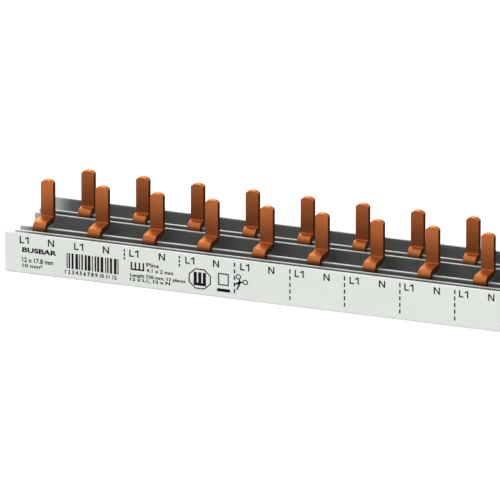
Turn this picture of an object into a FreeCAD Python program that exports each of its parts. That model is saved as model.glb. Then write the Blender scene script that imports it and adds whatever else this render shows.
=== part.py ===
"""Comb busbar for a row of small switching devices, two conductors, twelve places.

A long light grey trough, extruded in one piece, holds two copper combs. Each comb is one
stamped strip: a flat bar on edge that stands in a slot of the trough, and a row of pins
that rise from it. Every pin steps back over the rim of its slot in two tight bends, so
that both rows stand clear of the walls, and ends in a rounded tip.

Frame: X runs along the trough, the label wall faces -Y, the pins point up +Z. The origin
is the middle of the underside. All sizes are in millimetres.
"""
import FreeCAD, Part
import math
import os

import Sketcher
from FreeCAD import Vector

# Driving dimensions: cell alias, value, meaning.
DIMENSIONS = [
    ("place_count", 12, "places along the trough, with one pin of each comb in each"),
    ("pitch", 17.8, "width of one place"),
    ("end_margin", 3.2, "trough beyond the first and the last place"),
    ("depth", 42.2, "trough from the label wall's face to the back wall's face"),
    ("floor_thickness", 1.3, "floor of the trough"),
    ("label_wall_height", 13.0, "top of the label wall above the underside"),
    ("label_wall_thickness", 0.95, "label wall"),
    ("rim_height", 10.6, "top of all other walls above the underside"),
    ("back_wall_thickness", 1.0, "back wall"),
    ("front_slot_outer_wall", 1.1, "wall on the label side of the front slot"),
    ("front_slot_inner_wall", 1.2, "wall that the front bar leans on"),
    ("back_slot_outer_wall", 1.0, "wall on the label side of the back slot"),
    ("back_slot_inner_wall", 1.0, "wall that the back bar leans on"),
    ("front_grip", 1.35, "reach of the ribs that press on the front bar"),
    ("back_grip", 0.8, "reach of the ribs that press on the back bar"),
    ("rib_root", 1.4, "height of a grip rib where it leaves the wall"),
    ("rib_nose", 0.5, "height of a grip rib where it meets the bar"),
    ("rib_inset", 0.6, "bar's edge to the nearest edge of a grip rib"),
    ("label_edge_radius", 0.8, "rounding under the label wall"),
    ("rim_radius", 0.3, "rounding of every rim"),
    ("root_radius", 0.6, "hollow rounding in the corners of the gutters"),
    ("strip_thickness", 2.0, "copper strip"),
    ("bar_height", 5.0, "bar on edge in its slot"),
    ("bar_recess", 0.8, "bar's end inside the trough's end"),
    ("front_bar_face", 11.1, "label wall's face to the front bar's face"),
    ("back_bar_face", 27.5, "label wall's face to the back bar's face"),
    ("front_pin_offset", 3.54, "edge of a place to the middle of its front pin"),
    ("back_pin_offset", 12.06, "edge of a place to the middle of its back pin"),
    ("pin_width", 4.1, "pin"),
    ("front_step", 7.25, "step back of the front pins over their slot's rim"),
    ("back_step", 3.25, "step back of the back pins over their slot's rim"),
    ("rim_clearance", 0.05, "gap between the rims and the pins that cross them"),
    ("bend_radius", 0.2, "inner radius of the pin's two bends"),
    ("tip_height", 24.2, "top of the pins above the underside"),
    ("tip_crown", 0.85, "rise of the rounded tip in the middle of the pin"),
    ("pin_root_radius", 0.8, "hollow rounding where a pin leaves its bar"),
]

# Lengths that several features share, written once as expressions of the sheet.
TROUGH_LENGTH = "(sheet.place_count * sheet.pitch + 2 * sheet.end_margin)"
BAR_LENGTH = f"({TROUGH_LENGTH} - 2 * sheet.bar_recess)"
BAR_TOP = "(sheet.floor_thickness + sheet.bar_height)"
SHELF_TOP = "(sheet.rim_height + sheet.rim_clearance + sheet.strip_thickness)"
CROWN_RADIUS = "((sheet.pin_width / 2) ^ 2 + sheet.tip_crown ^ 2) / (2 * sheet.tip_crown)"

# Room above the tips that the crown's cut takes in, so that it leaves no skin.
CUT_ABOVE_TIP = 1.0
ORIGIN_POINT = (-1, 1)
SAME = 1e-4


def make_sheet(doc):
    """The sheet of driving dimensions: name, value and meaning in three columns."""
    sheet = doc.addObject("Spreadsheet::Sheet", "sheet")
    for row, (alias, value, meaning) in enumerate(DIMENSIONS, start=1):
        sheet.set(f"A{row}", alias)
        sheet.set(f"B{row}", str(value))
        sheet.set(f"C{row}", meaning)
        sheet.setAlias(f"B{row}", alias)
    doc.recompute()
    return sheet


def new_body(doc, label):
    """A body whose own place puts the middle of the trough's underside at the origin."""
    body = doc.addObject("PartDesign::Body", label)
    body.Label = label
    body.setExpression("Placement.Base.x", f"-{TROUGH_LENGTH} / 2")
    body.setExpression("Placement.Base.y", "-sheet.depth / 2")
    return body


def origin_feature(body, role):
    """One plane or axis of the body's own origin."""
    return next(f for f in body.Origin.OriginFeatures if f.Role == role)


def new_sketch(body, name, role, offset=None):
    """An empty sketch on an origin plane, moved along the plane's normal by offset."""
    sketch = body.newObject("Sketcher::SketchObject", name)
    sketch.AttachmentSupport = [(origin_feature(body, role), "")]
    sketch.MapMode = "FlatFace"
    if offset:
        sketch.setExpression("AttachmentOffset.Base.z", offset)
    return sketch


def number(sketch, expression):
    """The value in millimetres that an expression of the sheet has now."""
    return float(sketch.evalExpression(expression))


def bind(sketch, kind, *where, to):
    """Adds a dimension to the sketch and ties it to an expression of the sheet."""
    index = sketch.addConstraint(Sketcher.Constraint(kind, *where, number(sketch, to)))
    sketch.setExpression(f"Constraints[{index}]", to)


def point_at(sketch, geometry, end, across, up):
    """Ties one end of a line or arc to its two distances from the sketch's origin."""
    for kind, distance in (("DistanceX", across), ("DistanceY", up)):
        if distance:
            bind(sketch, kind, *ORIGIN_POINT, geometry, end, to=distance)
        else:
            axis = -2 if kind == "DistanceX" else -1
            sketch.addConstraint(Sketcher.Constraint("PointOnObject", geometry, end, axis))


def line(sketch, start, end):
    """A line between two points of the sketch's plane."""
    return sketch.addGeometry(Part.LineSegment(Vector(*start, 0), Vector(*end, 0)))


def arc(sketch, centre, radius, start_deg, end_deg):
    """An arc that runs anticlockwise from one angle to the other."""
    circle = Part.Circle(Vector(*centre, 0), Vector(0, 0, 1), radius)
    angles = math.radians(start_deg), math.radians(end_deg)
    return sketch.addGeometry(Part.ArcOfCircle(circle, *angles))


def join(sketch, first, first_end, second, second_end, kind="Coincident"):
    """Two ends meet, square (Coincident) or smoothly (Tangent)."""
    sketch.addConstraint(Sketcher.Constraint(kind, first, first_end, second, second_end))


def level(sketch, flat=(), upright=()):
    """Keeps some lines along the sketch's first axis and some along its second."""
    for geometry in flat:
        sketch.addConstraint(Sketcher.Constraint("Horizontal", geometry))
    for geometry in upright:
        sketch.addConstraint(Sketcher.Constraint("Vertical", geometry))


def rectangle(sketch, left, bottom, width, height):
    """A rectangle; left or bottom is None where it starts on the sketch's axis."""
    x = number(sketch, left) if left else 0.0
    y = number(sketch, bottom) if bottom else 0.0
    w = number(sketch, width)
    h = number(sketch, height)
    corners = [(x, y), (x + w, y), (x + w, y + h), (x, y + h)]
    sides = [line(sketch, corners[i], corners[(i + 1) % 4]) for i in range(4)]
    for i in range(4):
        join(sketch, sides[i], 2, sides[(i + 1) % 4], 1)
    level(sketch, flat=(sides[0], sides[2]), upright=(sides[1], sides[3]))
    point_at(sketch, sides[0], 1, left, bottom)
    bind(sketch, "DistanceX", sides[0], 1, sides[0], 2, to=width)
    bind(sketch, "DistanceY", sides[1], 1, sides[1], 2, to=height)


def pad(body, sketch, name, length):
    """Pads a sketch along its plane's normal and makes it the body's tip."""
    feature = body.newObject("PartDesign::Pad", name)
    feature.Profile = sketch
    feature.setExpression("Length", length)
    sketch.Visibility = False
    body.Tip = feature
    return feature


def section_pad(body, name, left, bottom, width, height):
    """A bar of the trough's section: a rectangle in Y and Z, as long as the trough."""
    sketch = new_sketch(body, f"{name}_section", "YZ_Plane")
    rectangle(sketch, left, bottom, width, height)
    return pad(body, sketch, name, TROUGH_LENGTH)


def round_edges(body, name, radius, wanted):
    """Rounds each edge of the body's shape so far for which wanted(edge) is true."""
    FreeCAD.ActiveDocument.recompute()
    base = body.Tip
    names = [f"Edge{i}" for i, edge in enumerate(base.Shape.Edges, start=1) if wanted(edge)]
    feature = body.newObject("PartDesign::Fillet", name)
    feature.Base = (base, names)
    feature.setExpression("Radius", radius)
    body.Tip = feature
    return feature


def runs_along(edge, axis):
    """True for a straight edge that is parallel to a unit axis."""
    if not isinstance(edge.Curve, Part.Line):
        return False
    return abs(abs(edge.Curve.Direction.dot(axis)) - 1) < SAME


def wall(body, name, face, thickness, height):
    """An upright wall of the trough; face is its side nearer the label wall."""
    top = f"({height} - sheet.floor_thickness / 2)"
    section_pad(body, name, face, "sheet.floor_thickness / 2", thickness, top)


def grip_rib(body, name, tip, reach, bottom):
    """A rib along a slot: full height at the wall, drawn in to a nose at the bar.

    Its lower side is flat and its upper side slopes, so that the bar slides in from
    above. The root goes half a rib deep into the wall, for one solid piece.
    """
    sketch = new_sketch(body, f"{name}_section", "YZ_Plane")
    nose_y = number(sketch, tip)
    wall_y = nose_y - number(sketch, reach)
    low = number(sketch, bottom)
    root = number(sketch, "sheet.rib_root")
    nose = number(sketch, "sheet.rib_nose")
    bite = wall_y - number(sketch, "sheet.rib_nose")
    under = line(sketch, (bite, low), (nose_y, low))
    front = line(sketch, (nose_y, low), (nose_y, low + nose))
    slope = line(sketch, (nose_y, low + nose), (wall_y, low + root))
    top = line(sketch, (wall_y, low + root), (bite, low + root))
    back = line(sketch, (bite, low + root), (bite, low))
    sides = (under, front, slope, top, back)
    for one, other in zip(sides, sides[1:] + sides[:1]):
        join(sketch, one, 2, other, 1)
    level(sketch, flat=(under, top), upright=(front, back))
    point_at(sketch, under, 2, tip, bottom)
    bind(sketch, "DistanceY", front, 1, front, 2, to="sheet.rib_nose")
    bind(sketch, "DistanceX", slope, 2, slope, 1, to=reach)
    bind(sketch, "DistanceY", front, 1, slope, 2, to="sheet.rib_root")
    bind(sketch, "DistanceX", top, 2, top, 1, to="sheet.rib_nose")
    pad(body, sketch, name, TROUGH_LENGTH)


def slot(body, name, bar_face, grip, outer_wall, inner_wall):
    """Two walls and two grip ribs that hold one bar on edge.

    The bar leans on the inner wall, and the ribs on the outer wall reach to its face.
    """
    outer_face = f"{bar_face} - {grip} - {outer_wall}"
    inner_face = f"{bar_face} + sheet.strip_thickness"
    wall(body, f"{name}_outer_wall", outer_face, outer_wall, "sheet.rim_height")
    wall(body, f"{name}_inner_wall", inner_face, inner_wall, "sheet.rim_height")
    low_rib = "sheet.floor_thickness + sheet.rib_inset"
    high_rib = f"{BAR_TOP} - sheet.rib_inset - sheet.rib_root"
    grip_rib(body, f"{name}_low_rib", bar_face, grip, low_rib)
    grip_rib(body, f"{name}_high_rib", bar_face, grip, high_rib)


def make_trough(doc, sheet):
    """The insulating trough: floor, label wall, two slots and back wall in one piece."""
    body = new_body(doc, "insulating_profile")
    section_pad(body, "trough_floor", None, None, "sheet.depth", "sheet.floor_thickness")
    label_top = "(sheet.label_wall_height)"
    section_pad(body, "label_wall", None, None, "sheet.label_wall_thickness", label_top)
    slot(body, "front_slot", "sheet.front_bar_face", "sheet.front_grip",
         "sheet.front_slot_outer_wall", "sheet.front_slot_inner_wall")
    slot(body, "back_slot", "sheet.back_bar_face", "sheet.back_grip",
         "sheet.back_slot_outer_wall", "sheet.back_slot_inner_wall")
    back_face = "sheet.depth - sheet.back_wall_thickness"
    wall(body, "back_wall", back_face, "sheet.back_wall_thickness", "sheet.rim_height")

    along = Vector(1, 0, 0)
    tops = (float(sheet.label_wall_height), float(sheet.rim_height))
    floor_top = float(sheet.floor_thickness)
    slots = [
        (float(bar) - float(grip), float(bar) + float(sheet.strip_thickness))
        for bar, grip in ((sheet.front_bar_face, sheet.front_grip),
                          (sheet.back_bar_face, sheet.back_grip))
    ]

    def is_rim(edge):
        return runs_along(edge, along) and any(abs(edge.CenterOfMass.z - z) < SAME for z in tops)

    def is_gutter_root(edge):
        middle = edge.CenterOfMass
        if not runs_along(edge, along) or abs(middle.z - floor_top) > SAME:
            return False
        return not any(low - SAME < middle.y < high + SAME for low, high in slots)

    def is_label_edge(edge):
        middle = edge.CenterOfMass
        return runs_along(edge, along) and abs(middle.y) < SAME and abs(middle.z) < SAME

    round_edges(body, "rim_rounding", "sheet.rim_radius", is_rim)
    round_edges(body, "gutter_rounding", "sheet.root_radius", is_gutter_root)
    round_edges(body, "label_edge_rounding", "sheet.label_edge_radius", is_label_edge)
    return body


def pin_side(body, name, bar_face, step, left):
    """Sketch of one pin seen from the side: strip of even thickness with two bends.

    From the bar it goes up, bends back into a level shelf over the rim, bends up again
    and rises to the tip. Both arcs of a bend share their centre, so the thickness holds.
    """
    sketch = new_sketch(body, f"{name}_side", "YZ_Plane", offset=left)
    thick = number(sketch, "sheet.strip_thickness")
    inner = number(sketch, "sheet.bend_radius")
    outer = inner + thick
    base = number(sketch, bar_face)
    upper = base + number(sketch, step)
    foot = number(sketch, f"{BAR_TOP} / 2")
    shelf = number(sketch, SHELF_TOP)
    tip = number(sketch, "sheet.tip_height")
    low = (base + outer, shelf - outer)
    high = (upper - inner, shelf + inner)

    base_front = line(sketch, (base, foot), (base, low[1]))
    low_outer = arc(sketch, low, outer, 90, 180)
    shelf_top = line(sketch, (low[0], shelf), (high[0], shelf))
    high_inner = arc(sketch, high, inner, 270, 360)
    pin_front = line(sketch, (upper, high[1]), (upper, tip))
    pin_end = line(sketch, (upper, tip), (upper + thick, tip))
    pin_back = line(sketch, (upper + thick, tip), (upper + thick, high[1]))
    high_outer = arc(sketch, high, outer, 270, 360)
    shelf_under = line(sketch, (high[0], shelf - thick), (low[0], shelf - thick))
    low_inner = arc(sketch, low, inner, 90, 180)
    base_back = line(sketch, (base + thick, low[1]), (base + thick, foot))
    base_end = line(sketch, (base + thick, foot), (base, foot))

    # An arc's first end is where it starts anticlockwise, its second end where it stops.
    join(sketch, base_front, 2, low_outer, 2, "Tangent")
    join(sketch, low_outer, 1, shelf_top, 1, "Tangent")
    join(sketch, shelf_top, 2, high_inner, 1, "Tangent")
    join(sketch, high_inner, 2, pin_front, 1, "Tangent")
    join(sketch, pin_front, 2, pin_end, 1)
    join(sketch, pin_end, 2, pin_back, 1)
    join(sketch, pin_back, 2, high_outer, 2, "Tangent")
    join(sketch, high_outer, 1, shelf_under, 1, "Tangent")
    join(sketch, shelf_under, 2, low_inner, 1, "Tangent")
    join(sketch, low_inner, 2, base_back, 1, "Tangent")
    join(sketch, base_back, 2, base_end, 1)
    join(sketch, base_end, 2, base_front, 1)
    join(sketch, low_outer, 3, low_inner, 3)
    join(sketch, high_outer, 3, high_inner, 3)
    level(sketch, flat=(shelf_top, pin_end, shelf_under, base_end),
          upright=(base_front, pin_front, pin_back, base_back))

    point_at(sketch, base_front, 1, bar_face, f"{BAR_TOP} / 2")
    point_at(sketch, pin_front, 2, f"{bar_face} + {step}", "sheet.tip_height")
    bind(sketch, "DistanceY", *ORIGIN_POINT, shelf_top, 1, to=SHELF_TOP)
    bind(sketch, "DistanceX", base_front, 1, base_back, 2, to="sheet.strip_thickness")
    bind(sketch, "Radius", low_inner, to="sheet.bend_radius")
    bind(sketch, "Radius", high_inner, to="sheet.bend_radius")
    return sketch


def crown_cut(body, name, left):
    """Cuts the pin's square end to a shallow arch, seen from the front."""
    sketch = new_sketch(body, f"{name}_front", "XZ_Plane")
    width = number(sketch, "sheet.pin_width")
    shoulder = number(sketch, "sheet.tip_height - sheet.tip_crown")
    top = number(sketch, "sheet.tip_height") + CUT_ABOVE_TIP
    radius = number(sketch, CROWN_RADIUS)
    x = number(sketch, left)
    centre = (x + width / 2, number(sketch, "sheet.tip_height") - radius)
    half_angle = math.degrees(math.asin(width / 2 / radius))
    arch = arc(sketch, centre, radius, 90 - half_angle, 90 + half_angle)
    rise = line(sketch, (x, shoulder), (x, top))
    lid = line(sketch, (x, top), (x + width, top))
    fall = line(sketch, (x + width, top), (x + width, shoulder))
    join(sketch, arch, 2, rise, 1)
    join(sketch, rise, 2, lid, 1)
    join(sketch, lid, 2, fall, 1)
    join(sketch, fall, 2, arch, 1)
    level(sketch, flat=(lid,), upright=(rise, fall))
    sketch.addConstraint(Sketcher.Constraint("Horizontal", arch, 1, arch, 2))
    point_at(sketch, rise, 1, left, "sheet.tip_height - sheet.tip_crown")
    bind(sketch, "DistanceX", arch, 2, arch, 1, to="sheet.pin_width")
    bind(sketch, "Radius", arch, to=CROWN_RADIUS)
    height = f"sheet.tip_crown + {CUT_ABOVE_TIP}"
    bind(sketch, "DistanceY", rise, 1, rise, 2, to=height)

    cut = body.newObject("PartDesign::Pocket", name)
    cut.Profile = sketch
    cut.Type = "ThroughAll"
    sketch.Visibility = False
    body.Tip = cut
    return cut


def make_comb(doc, sheet, label, bar_face, pin_offset, step):
    """One copper comb: the bar on edge and a row of pins, stamped and bent in one piece."""
    body = new_body(doc, label)
    bar_sketch = new_sketch(body, "bar_section", "YZ_Plane", offset="sheet.bar_recess")
    rectangle(bar_sketch, bar_face, "sheet.floor_thickness",
              "sheet.strip_thickness", "sheet.bar_height")
    pad(body, bar_sketch, "bar", BAR_LENGTH)

    left = f"sheet.end_margin + {pin_offset} - sheet.pin_width / 2"
    pin = pad(body, pin_side(body, "pin", bar_face, step, left), "pin", "sheet.pin_width")
    doc.recompute()
    square_volume = pin.Shape.Volume
    crown = crown_cut(body, "crown", left)
    doc.recompute()
    if crown.Shape.Volume >= square_volume:
        raise RuntimeError(f"{label}: the crown's cut removes nothing")

    row = body.newObject("PartDesign::LinearPattern", "pin_row")
    row.Originals = [pin, crown]
    row.Direction = (origin_feature(body, "X_Axis"), [""])
    row.setExpression("Length", "sheet.pitch * (sheet.place_count - 1)")
    row.setExpression("Occurrences", "sheet.place_count")
    body.Tip = row

    bar_top = number(bar_sketch, BAR_TOP)
    bar_start = float(sheet.bar_recess)
    bar_end = bar_start + number(bar_sketch, BAR_LENGTH)

    def is_pin_root(edge):
        middle = edge.CenterOfMass
        if not runs_along(edge, Vector(0, 1, 0)) or abs(middle.z - bar_top) > SAME:
            return False
        return bar_start + SAME < middle.x < bar_end - SAME

    round_edges(body, "pin_root_rounding", "sheet.pin_root_radius", is_pin_root)
    return body


def check(doc, bodies):
    """Stops if a feature failed or a piece isn't one valid solid."""
    for item in doc.Objects:
        if "Invalid" in item.State or "Error" in item.State:
            raise RuntimeError(f"{item.Name} failed: {item.State}")
    for body in bodies:
        shape = body.Shape
        if shape.isNull() or not shape.isValid() or len(shape.Solids) != 1:
            raise RuntimeError(f"{body.Label} isn't one valid solid")


def main():
    doc = FreeCAD.newDocument("comb_busbar")
    sheet = make_sheet(doc)
    bodies = [
        make_trough(doc, sheet),
        make_comb(doc, sheet, "comb_front", "sheet.front_bar_face",
                  "sheet.front_pin_offset", "sheet.front_step"),
        make_comb(doc, sheet, "comb_back", "sheet.back_bar_face",
                  "sheet.back_pin_offset", "sheet.back_step"),
    ]
    doc.recompute()
    check(doc, bodies)
    os.makedirs("parts", exist_ok=True)
    for body in bodies:
        body.Shape.exportStep(f"parts/{body.Label}.step")
        box = body.Shape.BoundBox
        print(f"{body.Label}: {body.Shape.Volume:.1f} mm3, "
              f"{box.XLength:.2f} x {box.YLength:.2f} x {box.ZLength:.2f} mm")


main()
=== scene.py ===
"""Looks of a comb busbar: a light grey trough with a printed label wall and two copper combs.

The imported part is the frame. Its trough stays and gets its plastic; the two combs are drawn
again here as flat stamped blanks that are bent by a formula, so that their bends and edges
catch the light. The print on the label wall is thin ink. Sizes are in millimetres until
place() turns them into metres.
"""
import math

import bpy
import numpy as np
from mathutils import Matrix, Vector


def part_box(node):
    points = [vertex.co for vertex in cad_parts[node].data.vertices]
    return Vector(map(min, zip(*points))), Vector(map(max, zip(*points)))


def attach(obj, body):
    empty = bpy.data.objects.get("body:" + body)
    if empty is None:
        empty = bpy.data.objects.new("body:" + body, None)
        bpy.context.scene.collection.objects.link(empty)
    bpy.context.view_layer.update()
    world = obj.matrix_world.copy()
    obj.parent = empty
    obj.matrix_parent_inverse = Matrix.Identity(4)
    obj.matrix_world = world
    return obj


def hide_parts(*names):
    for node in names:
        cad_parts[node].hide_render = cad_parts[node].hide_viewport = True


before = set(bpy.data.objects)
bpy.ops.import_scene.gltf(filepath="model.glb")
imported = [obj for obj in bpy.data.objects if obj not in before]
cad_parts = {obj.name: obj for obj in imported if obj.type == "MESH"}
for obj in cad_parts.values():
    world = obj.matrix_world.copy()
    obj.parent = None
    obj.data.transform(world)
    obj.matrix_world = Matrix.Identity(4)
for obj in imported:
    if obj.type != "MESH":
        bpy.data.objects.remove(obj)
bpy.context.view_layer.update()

MM = 0.001


def node_box(node):
    """The lowest and the highest corner of one of the frame's nodes, in millimetres."""
    return [np.array(corner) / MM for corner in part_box(node)]


TROUGH = "insulating_profile"
TROUGH_LOW, TROUGH_HIGH = node_box(TROUGH)
LABEL_FACE_Y = TROUGH_LOW[1]

# The row of places, counted from the trough's left end.
PLACES = 12
PITCH = 17.8
END_MARGIN = 3.2
FRONT_PIN_OFFSET = 3.54
BACK_PIN_OFFSET = 12.06

# The copper strip of both combs.
STRIP = 2.0
BAR_HEIGHT = 5.0
PIN_WIDTH = 4.1
SHELF_TOP = 12.65
BEND_RADIUS = 0.2
TIP_CROWN = 0.85
PIN_ROOT_RADIUS = 0.8
STAMPED_EDGE = 0.1
BAR_BOTTOM, TIP_TOP = (corner[2] for corner in node_box("comb_front"))

# Lengths along the strip's middle: up to the first bend, round each bend, and above the second.
MIDDLE_RADIUS = BEND_RADIUS + STRIP / 2
TURN = MIDDLE_RADIUS * math.pi / 2
RISE = SHELF_TOP - BEND_RADIUS - STRIP - BAR_BOTTOM
STRAIGHT = TIP_TOP - (SHELF_TOP + BEND_RADIUS)

# The blank's grid: columns over a pin, rows in each of its parts, the crown's rows as shares of
# its height, and how far apart the two rows below it are.
PIN_COLUMNS = 9
BAR_ROWS = 4
ROOT_ROWS = 5
BEND_ROWS = 9
CROWN_SHARES = (0.5, 1.0)
BELOW_CROWN = 1.0
TOP_PANEL = 3.0
# Points alike to this many digits are one point, an edge this even in X is upright, and an
# edge is sharp past this angle.
SHARED_DIGITS = 5
SAME_X = 1e-4
SHARP_ANGLE = 40

# How much painted shade darkens the copper, by height: most just above the pins' step and below
# it, none on the step's level top, clearing towards the tips.
PAINTED_SHADE_STOPS = (
    (0, 0.42), (12.1, 0.42), (12.6, 0.0), (12.68, 0.0), (12.76, 0.3),
    (13.1, 0.5), (15.0, 0.45), (18.5, 0.18), (22.0, 0.02), (24.2, 0.0),
)
# How much painted light makes the stamped edges paler, by height: most low in the trough.
PAINTED_EDGE_LIGHT_STOPS = ((0, 1.0), (12.6, 1.0), (14.0, 0.35), (18.0, 0.08), (24.2, 0.0))

# The walls in the trough end in rims at this height, and the painted shade on them clears over the
# rims, which keep the plastic's own tone.
RIM_HEIGHT = 10.6
RIM_SHADE_STOPS = (
    (RIM_HEIGHT - 0.4, 1.0), (RIM_HEIGHT - 0.16, 0.93), (RIM_HEIGHT - 0.06, 0.75),
    (RIM_HEIGHT, 0.22),
)
# The outer skin, which keeps the plastic's own tone, the blur where it turns into the painted
# shade of the trough's channels, and the length over which painted light comes in at the trough's
# ends.
OUTER_SKIN = 0.9
SKIN_BLUR = 0.1
END_PAINTED_LIGHT = 6.5

# The Mix node's output when it blends colours.
BLEND = 2


def linear(hex_colour):
    """An sRGB hex colour as the linear values that the shader takes."""
    srgb = np.array([int(hex_colour[i:i + 2], 16) for i in (1, 3, 5)]) / 255
    low = srgb / 12.92
    high = ((srgb + 0.055) / 1.055) ** 2.4
    return (*np.where(srgb <= 0.04045, low, high), 1.0)


def add(tree, kind, inputs=None, **settings):
    """Adds a node with its settings; an input's value is a number, a colour or a socket.

    Inputs go by their identifiers, because some nodes have two inputs of one name.
    """
    node = tree.nodes.new(kind)
    for name, value in settings.items():
        setattr(node, name, value)
    sockets = {socket.identifier: socket for socket in node.inputs}
    for name, value in (inputs or {}).items():
        if isinstance(value, bpy.types.NodeSocket):
            tree.links.new(value, sockets[name])
        else:
            sockets[name].default_value = value
    return node


def empty_tree(owner):
    """The node tree of a new material or world, without the nodes it comes with."""
    owner.use_nodes = True
    owner.node_tree.nodes.clear()
    return owner.node_tree


def streaks(tree, spacing, stretch, detail=2.0):
    """Noise on Object coordinates, with grains of spacing mm times stretch along each axis."""
    coordinates = add(tree, "ShaderNodeTexCoord").outputs["Object"]
    scaled = add(tree, "ShaderNodeMapping", {
        "Vector": coordinates,
        "Scale": [1 / (spacing * MM * s) for s in stretch],
    })
    return add(tree, "ShaderNodeTexNoise", {
        "Vector": scaled.outputs["Vector"],
        "Scale": 1.0,
        "Detail": detail,
        "Roughness": 0.55,
    }).outputs["Fac"]


def by_height(tree, height, stops):
    """A value that runs evenly through stops, each a height in millimetres and a value."""
    low, high = stops[0][0], stops[-1][0]
    share = add(tree, "ShaderNodeMapRange", {
        "Value": height,
        "From Min": low * MM,
        "From Max": high * MM,
    })
    ramp = add(tree, "ShaderNodeValToRGB", {"Fac": share.outputs["Result"]})
    points = ramp.color_ramp.elements
    points.remove(points[1])
    for z, _ in stops[1:]:
        points.new((z - low) / (high - low))
    for point, (_, value) in zip(points, stops):
        point.color = (value, value, value, 1.0)
    return ramp.outputs["Color"]


def extruded_pvc():
    """Light grey rigid PVC, extruded: satin, with faint draw lines along its length.

    The faces within the trough are painted a darker tone than the outside and the rims: painted
    shade for the shade in its channels. It gives way to painted light towards both open ends.
    """
    material = bpy.data.materials.new("extruded_pvc")
    tree = empty_tree(material)
    coordinates = add(tree, "ShaderNodeTexCoord").outputs["Object"]
    axes = add(tree, "ShaderNodeSeparateXYZ", {"Vector": coordinates}).outputs
    left, front, _ = TROUGH_LOW * MM
    right, back, _ = TROUGH_HIGH * MM
    skin, lit_end, blur = OUTER_SKIN * MM, END_PAINTED_LIGHT * MM, SKIN_BLUR * MM

    # The label wall is taller than the other walls, so its heights are lowered to theirs.
    label_wall = add(tree, "ShaderNodeMapRange", {
        "Value": axes["Y"], "From Min": front + 2 * skin, "From Max": front + skin,
    }, interpolation_type="SMOOTHSTEP").outputs["Result"]
    taller = add(tree, "ShaderNodeMath", {
        "Value": label_wall, "Value_001": (TROUGH_HIGH[2] - RIM_HEIGHT) * MM,
    }, operation="MULTIPLY").outputs["Value"]
    height = add(tree, "ShaderNodeMath", {
        "Value": axes["Z"], "Value_001": taller,
    }, operation="SUBTRACT").outputs["Value"]

    # Painted shade: the faces within the trough get a darker tone, cleared over the rims, the
    # outer skin and the underside, and giving way to painted light at both open ends.
    painted_shade = by_height(tree, height, RIM_SHADE_STOPS)
    for axis, low, high in (
        ("Y", front + skin, front + skin + blur),
        ("Y", back - skin, back - skin - blur),
        ("Z", skin, skin + blur),
        ("X", left, left + lit_end),
        ("X", right, right - lit_end),
    ):
        within = add(tree, "ShaderNodeMapRange", {
            "Value": axes[axis], "From Min": low, "From Max": high,
        }, interpolation_type="SMOOTHSTEP").outputs["Result"]
        painted_shade = add(tree, "ShaderNodeMath", {
            "Value": painted_shade, "Value_001": within,
        }, operation="MULTIPLY").outputs["Value"]

    # Real draw lines are some 0.05 mm wide, too fine to show, so they are drawn ten times as wide.
    draw_lines = streaks(tree, spacing=0.5, stretch=(120, 1, 1))
    cloud = streaks(tree, spacing=9.0, stretch=(2, 1, 1))
    outer = add(tree, "ShaderNodeMix", {
        "Factor_Float": cloud, "A_Color": linear("#E4E7E3"), "B_Color": linear("#DFE3DF"),
    }, data_type="RGBA").outputs[BLEND]
    # The darker tone of the painted shade in the trough's channels.
    shaded_tone = add(tree, "ShaderNodeMix", {
        "Factor_Float": cloud, "A_Color": linear("#797E7C"), "B_Color": linear("#6E7371"),
    }, data_type="RGBA").outputs[BLEND]
    tone = add(tree, "ShaderNodeMix", {
        "Factor_Float": painted_shade, "A_Color": outer, "B_Color": shaded_tone,
    }, data_type="RGBA").outputs[BLEND]
    faint = add(tree, "ShaderNodeMath", {
        "Value": draw_lines, "Value_001": 0.1,
    }, operation="MULTIPLY").outputs["Value"]
    lined = add(tree, "ShaderNodeMix", {
        "Factor_Float": faint, "A_Color": tone, "B_Color": linear("#B9BCBA"),
    }, data_type="RGBA").outputs[BLEND]
    bump = add(tree, "ShaderNodeBump", {
        "Height": draw_lines,
        "Strength": 0.12,
        "Distance": 0.03 * MM,
    })
    surface = add(tree, "ShaderNodeBsdfPrincipled", {
        "Base Color": lined,
        "Roughness": 0.42,
        "Normal": bump.outputs["Normal"],
    })
    add(tree, "ShaderNodeOutputMaterial", {"Surface": surface.outputs["BSDF"]})
    return material


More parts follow.
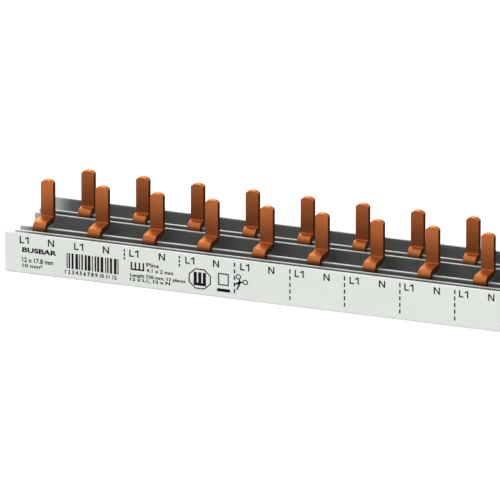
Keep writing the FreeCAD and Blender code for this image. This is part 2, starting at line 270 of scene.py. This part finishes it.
def rolled_copper():
    """Bare copper strip as it leaves the rolls: warm, half matt, with fine lines along it.

    Painted shade darkens the pins towards their step and the bar below it, and clears towards the
    tips; the step's level top is left out.
    """
    material = bpy.data.materials.new("rolled_copper")
    tree = empty_tree(material)
    coordinates = add(tree, "ShaderNodeTexCoord").outputs["Object"]
    height = add(tree, "ShaderNodeSeparateXYZ", {"Vector": coordinates}).outputs["Z"]
    # Real roll lines are some 0.02 mm wide, too fine to show, so they are drawn ten times as wide.
    roll_lines = streaks(tree, spacing=0.22, stretch=(14, 1, 1), detail=3.0)
    tarnish = streaks(tree, spacing=3.5, stretch=(1, 1, 1.6), detail=3.0)
    bright = add(tree, "ShaderNodeMix", {
        "Factor_Float": tarnish, "A_Color": linear("#B76A3C"), "B_Color": linear("#AA5F34"),
    }, data_type="RGBA").outputs[BLEND]
    faint = add(tree, "ShaderNodeMath", {
        "Value": roll_lines, "Value_001": 0.2,
    }, operation="MULTIPLY").outputs["Value"]
    lined = add(tree, "ShaderNodeMix", {
        "Factor_Float": faint, "A_Color": bright, "B_Color": linear("#8C4A28"),
    }, data_type="RGBA").outputs[BLEND]
    # Painted shade: the copper is darkened by height, towards the bottom of the pins.
    tone = add(tree, "ShaderNodeMix", {
        "Factor_Float": by_height(tree, height, PAINTED_SHADE_STOPS),
        "A_Color": lined,
        "B_Color": linear("#3A2C1C"),
    }, data_type="RGBA").outputs[BLEND]
    bump = add(tree, "ShaderNodeBump", {
        "Height": roll_lines,
        "Strength": 0.15,
        "Distance": 0.02 * MM,
    })
    surface = add(tree, "ShaderNodeBsdfPrincipled", {
        "Base Color": tone,
        "Metallic": 0.75,
        "Roughness": 0.42,
        "Specular IOR Level": 0.0,
        "Specular Tint": linear("#FFF6D8"),
        "Normal": bump.outputs["Normal"],
    })
    add(tree, "ShaderNodeOutputMaterial", {"Surface": surface.outputs["BSDF"]})
    return material


def sheared_copper():
    """The copper's stamped edges: torn by the punch, so rough, dull and brown with oxide, a dark
    brown that is partly painted shade for the pins' shaded sides.

    The edges are paler low in the trough: painted light, brightest at the bottom.
    """
    material = bpy.data.materials.new("sheared_copper")
    tree = empty_tree(material)
    coordinates = add(tree, "ShaderNodeTexCoord").outputs["Object"]
    height = add(tree, "ShaderNodeSeparateXYZ", {"Vector": coordinates}).outputs["Z"]
    # The real tear is finer than 0.1 mm, so it is drawn three times as coarse to show.
    tear = streaks(tree, spacing=0.3, stretch=(1, 3, 1), detail=4.0)
    # The dark brown is partly oxide on the torn edges and partly painted shade for the pins'
    # shaded sides.
    upper_edge_tone = add(tree, "ShaderNodeMix", {
        "Factor_Float": tear, "A_Color": linear("#533F2D"), "B_Color": linear("#3C2D1F"),
    }, data_type="RGBA").outputs[BLEND]
    # Painted light: the paler tone for the edges low in the trough.
    pale = add(tree, "ShaderNodeMix", {
        "Factor_Float": tear, "A_Color": linear("#6C4D39"), "B_Color": linear("#4F3728"),
    }, data_type="RGBA").outputs[BLEND]
    tone = add(tree, "ShaderNodeMix", {
        "Factor_Float": by_height(tree, height, PAINTED_EDGE_LIGHT_STOPS),
        "A_Color": upper_edge_tone,
        "B_Color": pale,
    }, data_type="RGBA").outputs[BLEND]
    bump = add(tree, "ShaderNodeBump", {
        "Height": tear,
        "Strength": 0.3,
        "Distance": 0.03 * MM,
    })
    surface = add(tree, "ShaderNodeBsdfPrincipled", {
        "Base Color": tone,
        "Metallic": 1.0,
        "Roughness": 0.62,
        "Specular Tint": linear("#B87850"),
        "Normal": bump.outputs["Normal"],
    })
    add(tree, "ShaderNodeOutputMaterial", {"Surface": surface.outputs["BSDF"]})
    return material


def printed_ink():
    """Black pad-printed ink, thin enough that its coat is uneven: dull, with weak spots."""
    material = bpy.data.materials.new("printed_ink")
    tree = empty_tree(material)
    coat = streaks(tree, spacing=0.25, stretch=(1, 1, 1), detail=3.0)
    weak_spots = add(tree, "ShaderNodeMapRange", {
        "Value": coat, "From Min": 0.35, "From Max": 0.75,
    }, interpolation_type="SMOOTHSTEP").outputs["Result"]
    tone = add(tree, "ShaderNodeMix", {
        "Factor_Float": weak_spots, "A_Color": linear("#040404"), "B_Color": linear("#0E0F0E"),
    }, data_type="RGBA").outputs[BLEND]
    surface = add(tree, "ShaderNodeBsdfPrincipled", {
        "Base Color": tone,
        "Roughness": 0.6,
        "Specular IOR Level": 0.1,
    })
    add(tree, "ShaderNodeOutputMaterial", {"Surface": surface.outputs["BSDF"]})
    return material


def place(name, vertices, faces, materials, face_materials=None, smooth_below=None):
    """Puts points in millimetres and faces into a mesh whose object sits at the origin."""
    mesh = bpy.data.meshes.new(name)
    mesh.from_pydata(np.asarray(vertices) * MM, [], faces)
    for material in materials:
        mesh.materials.append(material)
    if face_materials is not None:
        mesh.polygons.foreach_set("material_index", np.asarray(face_materials, dtype=np.int32))
    if smooth_below is not None:
        mesh.shade_smooth()
        mesh.set_sharp_from_angle(angle=math.radians(smooth_below))
    mesh.update()
    piece = bpy.data.objects.new(name, mesh)
    bpy.context.scene.collection.objects.link(piece)
    return piece


def closed(front, back, faces):
    """A closed shell from two like layers of points.

    The faces cover the front, the same faces turned round cover the back, and a wall closes
    each edge that only one face has. Returns the points, the faces and those edges.
    """
    faces = [tuple(int(i) for i in face) for face in faces]
    edges = {(a, b) for face in faces for a, b in zip(face, face[1:] + face[:1])}
    free = [(a, b) for a, b in sorted(edges) if (b, a) not in edges]
    count = len(front)
    turned = [tuple(i + count for i in reversed(face)) for face in faces]
    walls = [(b, a, a + count, b + count) for a, b in free]
    return np.vstack([front, back]), faces + turned + walls, free


def strip_path(along, depth, face, run):
    """Y and Z of the bent strip for a length along its middle and a depth towards its front.

    The middle line goes straight up, turns back over a quarter circle, runs level, turns up
    over a second quarter circle and goes straight up again. The front is to its left.
    """
    stops = np.cumsum([RISE, TURN, run, TURN])
    first = np.clip((along - stops[0]) / MIDDLE_RADIUS, 0, math.pi / 2)
    second = np.clip((along - stops[2]) / MIDDLE_RADIUS, 0, math.pi / 2)
    level = np.clip(along - stops[1], 0, run)
    last = np.maximum(along - stops[3], 0)
    up = np.minimum(along, RISE)
    y = (face + STRIP / 2
         + MIDDLE_RADIUS * (1 - np.cos(first)) + level + MIDDLE_RADIUS * np.sin(second))
    z = (BAR_BOTTOM + up
         + MIDDLE_RADIUS * np.sin(first) + MIDDLE_RADIUS * (1 - np.cos(second)) + last)
    heading = math.pi / 2 - first + second
    return y - np.sin(heading) * depth, z + np.cos(heading) * depth


def pin_sheet(run):
    """One pin of the flat blank: a grid of X from the pin's middle and of length up the strip.

    The columns narrow over a hollow quarter circle at the root, run straight, and end on the
    arc of the crown.
    """
    half = PIN_WIDTH / 2
    length = RISE + TURN + run + TURN + STRAIGHT
    across = np.sin(np.linspace(-1, 1, PIN_COLUMNS) * math.pi / 2)

    root = np.linspace(0, math.pi / 2, ROOT_ROWS)
    root_rows = BAR_HEIGHT + PIN_ROOT_RADIUS * (1 - np.cos(root))
    root_half = half + PIN_ROOT_RADIUS * (1 - np.sin(root))
    bends = [np.linspace(start, start + TURN, BEND_ROWS) for start in (RISE, RISE + TURN + run)]
    top_row = length - TIP_CROWN - BELOW_CROWN
    body_rows = np.concatenate([*bends, [top_row - TOP_PANEL, top_row]])
    rows = np.concatenate([root_rows, body_rows])
    widths = np.concatenate([root_half, np.full(body_rows.size, half)])

    radius = (half ** 2 + TIP_CROWN ** 2) / (2 * TIP_CROWN)
    crown_end = length - radius + np.sqrt(radius ** 2 - (across * half) ** 2)
    crown_rows = [top_row + share * (crown_end - top_row) for share in CROWN_SHARES]
    x = np.vstack([np.outer(widths, across), *[across * half] * len(CROWN_SHARES)])
    lengths = np.vstack([np.repeat(rows[:, None], across.size, axis=1), *crown_rows])
    return x, lengths


def blank_grid(first_pin, bar_ends, run):
    """The comb's flat blank: one grid of X and length for its bar and one for each pin.

    The bar's columns include those of the pins' roots, so the grids are joined there.
    """
    pin_x, pin_length = pin_sheet(run)
    centres = first_pin + PITCH * np.arange(PLACES)
    columns = np.concatenate([[bar_ends[0]], *(c + pin_x[0] for c in centres), [bar_ends[1]]])
    sheets = [np.meshgrid(columns, np.linspace(0, BAR_HEIGHT, BAR_ROWS))]
    sheets += [(c + pin_x, pin_length) for c in centres]
    points, quads, start = [], [], 0
    for x, length in sheets:
        corner = start + np.arange(x.size).reshape(x.shape)
        around = corner[:-1, :-1], corner[:-1, 1:], corner[1:, 1:], corner[1:, :-1]
        points.append(np.column_stack([x.ravel(), length.ravel()]))
        quads.append(np.stack(around, axis=-1).reshape(-1, 4))
        start += x.size
    points = np.vstack(points)
    _, first_seen, shared = np.unique(
        np.round(points, SHARED_DIGITS), axis=0, return_index=True, return_inverse=True)
    return points[first_seen], shared.ravel()[np.vstack(quads)]


def make_comb(node, offset, copper, edge_copper):
    """One comb: the flat blank, given its thickness, bent, and its stamped edges rounded.

    The upright edges show the punch's tear. The crowns and the bar's level edges get the copper of
    the rolled faces and are as bright.
    """
    low, high = node_box(node)
    step = high[1] - low[1] - STRIP
    run = step - 2 * BEND_RADIUS - STRIP
    first_pin = TROUGH_LOW[0] + END_MARGIN + offset
    flat, quads = blank_grid(first_pin, (low[0], high[0]), run)
    layers = []
    for depth in (STRIP / 2, -STRIP / 2):
        y, z = strip_path(flat[:, 1], depth, low[1], run)
        layers.append(np.column_stack([flat[:, 0], y, z]))
    points, faces, free = closed(*layers, quads)
    starts, ends = np.array(free).T
    upright = np.abs(flat[starts, 0] - flat[ends, 0]) < SAME_X
    indices = np.concatenate([np.zeros(2 * len(quads)), upright])
    comb = place(f"{node}_strip", points, faces, [copper, edge_copper], indices, SHARP_ANGLE)
    bevel = comb.modifiers.new("stamped_edges", "BEVEL")
    bevel.width = STAMPED_EDGE * MM
    bevel.segments = 2
    bevel.limit_method = "ANGLE"
    bevel.angle_limit = math.radians(SHARP_ANGLE)
    bevel.harden_normals = True
    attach(comb, "root")
    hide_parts(node)


# Ink on the label wall. Distances are from the trough's left end and from its underside.
INK_COAT = 0.02

# The letters over the pins.
LETTER_HEIGHT = 2.25
LETTER_BASE = 9.8
LETTER_STROKE = 0.42
FRONT_LETTER_X = 4.79
BACK_LETTER_X = 13.95
FRONT_LETTER_SLIPS = (0, -0.1, 0, 0.3, 0.25, 0, -0.1, -0.3, -0.55, 0, 0, 0)
BACK_LETTER_SLIPS = (0.05, 0.05, 0.4, 0.1, 0.15, 0.15, 0.2, 0, -0.35, 0, 0, 0)

# The dashed lines between the places: a dash, the step from one to the next, and their count.
DASH_WIDTH = 0.44
DASH_TOP = 12.0
LONG_LINE = (1.35, 2.12, 5)
SHORT_LINE = (0.85, 1.27, 3)
SHORT_LINES = (2, 3)
CUT_LINE_SLIPS = (0, 0, 0, 0, 0, 0.1, -0.12, -0.12, -0.3, 0, 0, 0)

# Lines of text: words, left end, base, height, width, weight of the letters, and the slips
# of their strikes. A second strike makes a line heavier.
LIGHT, MEDIUM, BOLD = 0.01, 0.025, 0.04
ONE_STRIKE = ((0, 0),)
LEVEL_STRIKES = ((0, 0), (0.1, 0))
SLANT_STRIKES = ((0, 0), (0.1, 0.05))
TEXT_LINES = (
    ("BUSBAR", 5.6, 7.1, 1.5, 11.1, MEDIUM, SLANT_STRIKES),
    ("12 x 17.8 mm", 5.6, 3.95, 1.5, 10.1, MEDIUM, ONE_STRIKE),
    ("10 mm²", 5.7, 2.25, 1.2, 6.5, MEDIUM, ONE_STRIKE),
    ("1 2 3 4 5 6 7 8 9 10 11 12", 19.5, 1.9, 1.25, 16.8, BOLD, ONE_STRIKE),
    ("Pins", 45.9, 7.2, 1.25, 4.1, MEDIUM, ONE_STRIKE),
    ("4.1 x 2 mm", 45.9, 5.5, 1.2, 8.7, MEDIUM, ONE_STRIKE),
    ("Length 220 mm, 12 places", 40.6, 3.5, 1.05, 17.9, LIGHT, LEVEL_STRIKES),
    ("12 x L1, 12 x N", 40.6, 2.2, 1.0, 13.0, BOLD, ONE_STRIKE),
)
# A triangle of a letter with less area than this is empty.
EMPTY_AREA = 1e-6

# The field of stripes: its place, the thinnest stripe and gap, and how much wider the next
# ones are.
STRIPES_LEFT, STRIPES_RIGHT = 20.05, 37.1
STRIPES_BASE, STRIPES_HEIGHT = 3.55, 4.95
STRIPE, STRIPE_MORE, STRIPE_GAP, STRIPE_GAP_MORE = 0.33, 0.18, 0.3, 0.14


def outline(*corners):
    """One flat face from its corners in X and Z, anticlockwise as the print is read."""
    return np.array(corners, dtype=float), [tuple(range(len(corners)))]


def rectangle(x, z, width, height):
    """An upright rectangle from its lower left corner."""
    return outline((x, z), (x + width, z), (x + width, z + height), (x, z + height))


def stroke(start, end, start_width, end_width):
    """A straight stroke that may taper."""
    start, end = np.array(start, dtype=float), np.array(end, dtype=float)
    along = (end - start) / np.linalg.norm(end - start)
    across = np.array([-along[1], along[0]]) / 2
    return outline(start - across * start_width, end - across * end_width,
                   end + across * end_width, start + across * start_width)


def ring(x, z, radius, width, sides=24, turn=0.0, wide=1.0):
    """A ring or a frame of even sides, drawn out sideways by a factor."""
    angle = turn + np.arange(sides) * 2 * math.pi / sides
    spokes = np.column_stack([np.cos(angle), np.sin(angle)])
    outer = spokes * (radius * wide, radius)
    points = np.vstack([outer - spokes * width, outer]) + (x, z)
    faces = [(i, i + sides, (i + 1) % sides + sides, (i + 1) % sides) for i in range(sides)]
    return points, faces


def comb_sign(x, z, width, spine, teeth, tooth, tooth_height):
    """A comb with its teeth up: a level spine, and teeth in even steps from end to end."""
    step = (width - tooth) / (teeth - 1)
    return [rectangle(x, z, width, spine)] + [
        rectangle(x + step * i, z + spine, tooth, tooth_height) for i in range(teeth)]


def hollow_box(x, z, width, height, line):
    """The outline of an upright rectangle in an even line: two sides, bottom and top."""
    return [
        rectangle(x, z, line, height),
        rectangle(x + width - line, z, line, height),
        rectangle(x + line, z, width - 2 * line, line),
        rectangle(x + line, z + height - line, width - 2 * line, line),
    ]


def lettering(words, x, base, height, width, weight):
    """A line of text as flat triangles, fitted to its height above the base and to its width.

    Triangles without any area, which the font leaves in its joints, are dropped.
    """
    curve = bpy.data.curves.new("line_of_text", "FONT")
    curve.body = words
    curve.size = 1.0
    curve.resolution_u = 3
    curve.offset = weight
    letters = bpy.data.objects.new("line_of_text", curve)
    bpy.context.scene.collection.objects.link(letters)
    graph = bpy.context.evaluated_depsgraph_get()
    mesh = bpy.data.meshes.new_from_object(letters.evaluated_get(graph))
    points = np.empty(3 * len(mesh.vertices), dtype=np.float32)
    mesh.vertices.foreach_get("co", points)
    points = points.reshape(-1, 3)[:, :2].astype(float)
    faces = np.empty(3 * len(mesh.polygons), dtype=np.int32)
    mesh.polygons.foreach_get("vertices", faces)
    faces = faces.reshape(-1, 3)
    bpy.data.objects.remove(letters)
    bpy.data.curves.remove(curve)
    bpy.data.meshes.remove(mesh)
    side = points[faces[:, 1]] - points[faces[:, 0]]
    other = points[faces[:, 2]] - points[faces[:, 0]]
    faces = faces[side[:, 0] * other[:, 1] - side[:, 1] * other[:, 0] > EMPTY_AREA]
    low, high = points.min(axis=0), points.max(axis=0)
    scale = np.array([width / (high[0] - low[0]), height / high[1]])
    return (points - (low[0], 0)) * scale + (x, base), faces.tolist()


def print_on_wall(name, patches, ink):
    """Prints patches of flat faces in X and Z on the label wall, as one thin closed skin."""
    points, faces, start = [], [], 0
    for patch_points, patch_faces in patches:
        points.append(patch_points)
        faces += [tuple(start + i for i in face) for face in patch_faces]
        start += len(patch_points)
    points = np.vstack(points)
    x = TROUGH_LOW[0] + points[:, 0]
    layers = [
        np.column_stack([x, np.full(len(x), y), points[:, 1]])
        for y in (LABEL_FACE_Y - INK_COAT, LABEL_FACE_Y + INK_COAT)
    ]
    shell, shell_faces, _ = closed(*layers, faces)
    piece = place(name, shell, shell_faces, [ink])
    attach(piece, "root")


def conductor_letters():
    """L1 over each front pin and N over each back pin, in strokes of even width."""
    h, s = LETTER_HEIGHT, LETTER_STROKE
    foot = 1.45
    stem, shoulder = 2.55, 0.07
    flag, flag_top, flag_bottom, flag_root = 0.75, h - 0.4, h - 0.85, h - 0.52
    wide, corner = 2.0, 0.66
    ell = outline((0, 0), (foot, 0), (foot, s), (s, s), (s, h), (0, h))
    one = outline((stem, 0), (stem + s, 0), (stem + s, h), (stem + shoulder, h),
                  (stem - flag, flag_top), (stem - flag, flag_bottom), (stem, flag_root))
    en = outline((0, 0), (s, 0), (s, h - corner), (wide - s, 0), (wide, 0), (wide, h),
                 (wide - s, h), (wide - s, corner), (s, h), (0, h))
    patches = []
    for k in range(PLACES):
        front_x = FRONT_LETTER_X + PITCH * k + FRONT_LETTER_SLIPS[k]
        back_x = BACK_LETTER_X + PITCH * k + BACK_LETTER_SLIPS[k]
        for (points, faces), x in ((ell, front_x), (one, front_x), (en, back_x)):
            patches.append((points + (x, LETTER_BASE), faces))
    return patches


def cut_lines():
    """Dashed lines at the edges of the places, short where the size marks need the room."""
    patches = []
    for line in range(min(SHORT_LINES), PLACES):
        x = END_MARGIN + PITCH * line - DASH_WIDTH / 2 + CUT_LINE_SLIPS[line]
        dash, step, count = SHORT_LINE if line in SHORT_LINES else LONG_LINE
        patches += [rectangle(x, DASH_TOP - dash - step * i, DASH_WIDTH, dash)
                    for i in range(count)]
    return patches


def scissors():
    """Open scissors at the first long line: two rings, two shanks and two tapered blades."""
    pivot = np.array([76.2, 5.9])
    radius, line, shank_start = 0.87, 0.32, 0.7
    shank_widths, blade_widths = (0.4, 0.55), (0.75, 0.35)
    patches = []
    for middle, tip in (((75.68, 7.6), (75.15, 3.35)), ((77.9, 6.05), (74.45, 5.0))):
        away = pivot - middle
        edge = np.array(middle) + away / np.linalg.norm(away) * shank_start
        patches.append(ring(*middle, radius, line))
        patches.append(stroke(edge, pivot, *shank_widths))
        patches.append(stroke(pivot, tip, *blade_widths))
    return patches


def stripes():
    """Upright stripes in a made-up even rhythm: four widths and three gaps that take turns."""
    patches, x, count = [], STRIPES_LEFT, 0
    while x < STRIPES_RIGHT:
        width = STRIPE + STRIPE_MORE * (count * 5 % 4)
        patches.append(
            rectangle(x, STRIPES_BASE, min(width, STRIPES_RIGHT - x), STRIPES_HEIGHT))
        x += width + STRIPE_GAP + STRIPE_GAP_MORE * (count * 7 % 3)
        count += 1
    return patches


def size_marks():
    """General print in the first places: sizes in words, stripes, comb signs and a box."""
    return [
        *(lettering(words, x + right, base + up, height, width, weight)
          for words, x, base, height, width, weight, strikes in TEXT_LINES
          for right, up in strikes),
        *stripes(),
        *comb_sign(40.8, 5.6, width=4.4, spine=0.5, teeth=4, tooth=0.5, tooth_height=2.1),
        ring(63.2, 5.4, 3.54, 0.4, sides=8, turn=math.pi / 8, wide=1.1),
        *comb_sign(61.2, 3.2, width=4.0, spine=0.9, teeth=3, tooth=1.04, tooth_height=3.4),
        rectangle(68.8, 2.15, 4.2, 1.0),
        *hollow_box(69.1, 4.2, width=3.48, height=3.9, line=0.38),
    ]


# The floor reaches this far to each side and lies just under the trough.
FLOOR_REACH = 30_000
FLOOR_DROP = 0.02

# The photograph has almost no perspective, so the camera is far away behind a very long lens.
VIEW_AZIMUTH = 20.26
VIEW_ELEVATION = 19.45
VIEW_WIDTH = 151.86
VIEW_MIDDLE = (-37.99, -1.03, 9.12)
LENS = 1600.0
SENSOR = 36.0


def seen_rays(tree):
    """1 for the rays by which the camera sees a surface: straight, mirrored or through glass."""
    rays = add(tree, "ShaderNodeLightPath").outputs
    mirrored = add(tree, "ShaderNodeMath", {
        "Value": rays["Is Camera Ray"], "Value_001": rays["Is Glossy Ray"],
    }, operation="MAXIMUM").outputs["Value"]
    return add(tree, "ShaderNodeMath", {
        "Value": mirrored, "Value_001": rays["Is Transmission Ray"],
    }, operation="MAXIMUM").outputs["Value"]


def make_floor():
    """A pale floor that looks white to the camera and still takes a soft shadow."""
    material = bpy.data.materials.new("studio_floor")
    tree = empty_tree(material)
    paper = add(tree, "ShaderNodeBsdfDiffuse", {"Color": linear("#C9C9C7")}).outputs["BSDF"]
    glow = add(tree, "ShaderNodeEmission", {"Color": linear("#FFFFFF"), "Strength": 0.82})
    lit = add(tree, "ShaderNodeAddShader", {
        "Shader": paper, "Shader_001": glow.outputs["Emission"],
    })
    shown = add(tree, "ShaderNodeMixShader", {
        "Fac": seen_rays(tree), "Shader": paper, "Shader_001": lit.outputs["Shader"],
    })
    add(tree, "ShaderNodeOutputMaterial", {"Surface": shown.outputs["Shader"]})
    reach, level = FLOOR_REACH, -FLOOR_DROP
    corners = [(-reach, -reach, level), (reach, -reach, level),
               (reach, reach, level), (-reach, reach, level)]
    floor = place("floor", corners, [(0, 1, 2, 3)], [material])


def make_world():
    """A dim even surround that looks white to the camera."""
    world = bpy.data.worlds.new("studio")
    tree = empty_tree(world)
    dim = add(tree, "ShaderNodeBackground", {"Color": linear("#FFFFFF"), "Strength": 0.075})
    white = add(tree, "ShaderNodeBackground", {"Color": linear("#FFFFFF"), "Strength": 1.0})
    shown = add(tree, "ShaderNodeMixShader", {
        "Fac": seen_rays(tree),
        "Shader": dim.outputs["Background"],
        "Shader_001": white.outputs["Background"],
    })
    add(tree, "ShaderNodeOutputWorld", {"Surface": shown.outputs["Shader"]})
    bpy.context.scene.world = world


def aim(name, data, azimuth, elevation, distance, middle=(0, 0, 0)):
    """Puts a lamp or camera round a middle, turned to it; azimuth 0 faces the label wall."""
    a, e = math.radians(azimuth), math.radians(elevation)
    away = Vector((math.sin(a) * math.cos(e), -math.cos(a) * math.cos(e), math.sin(e)))
    thing = bpy.data.objects.new(name, data)
    thing.location = Vector(middle) + away * distance
    thing.rotation_euler = away.to_track_quat("Z", "Y").to_euler()
    bpy.context.scene.collection.objects.link(thing)
    return thing


def make_light(name, azimuth, elevation, distance, size, power):
    """A soft white rectangular light. Its distance and size are in metres."""
    data = bpy.data.lights.new(name, "AREA")
    data.shape = "RECTANGLE"
    data.size, data.size_y = size
    data.energy = power
    aim(name, data, azimuth, elevation, distance)


def make_camera():
    """Looks from the front right and above; the field is VIEW_WIDTH mm wide at the middle."""
    distance = VIEW_WIDTH * LENS / SENSOR * MM
    data = bpy.data.cameras.new("camera")
    data.lens = LENS
    data.sensor_width = SENSOR
    data.clip_start = distance / 10
    data.clip_end = distance * 10
    middle = Vector(VIEW_MIDDLE) * MM
    bpy.context.scene.camera = aim(
        "camera", data, VIEW_AZIMUTH, VIEW_ELEVATION, distance, middle)


make_camera()
make_world()
make_floor()
make_light("key", azimuth=25, elevation=3, distance=2.0, size=(1.6, 0.16), power=23.5)
make_light("fill", azimuth=-8, elevation=50, distance=1.6, size=(1.0, 0.5), power=6.5)
make_light("top", azimuth=0, elevation=85, distance=1.5, size=(1.4, 0.8), power=9)
make_light("rim", azimuth=-142, elevation=32, distance=1.6, size=(1.4, 0.5), power=15)

plastic = extruded_pvc()
copper = rolled_copper()
edge_copper = sheared_copper()
ink = printed_ink()
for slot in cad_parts[TROUGH].material_slots:
    slot.material = plastic
make_comb("comb_front", FRONT_PIN_OFFSET, copper, edge_copper)
make_comb("comb_back", BACK_PIN_OFFSET, copper, edge_copper)
print_on_wall("marking_cut_lines", cut_lines(), ink)
print_on_wall("marking_letters", conductor_letters(), ink)
print_on_wall("marking_scissors", scissors(), ink)
print_on_wall("marking_sizes", size_marks(), ink)

bpy.context.scene.view_settings.view_transform = "Standard"
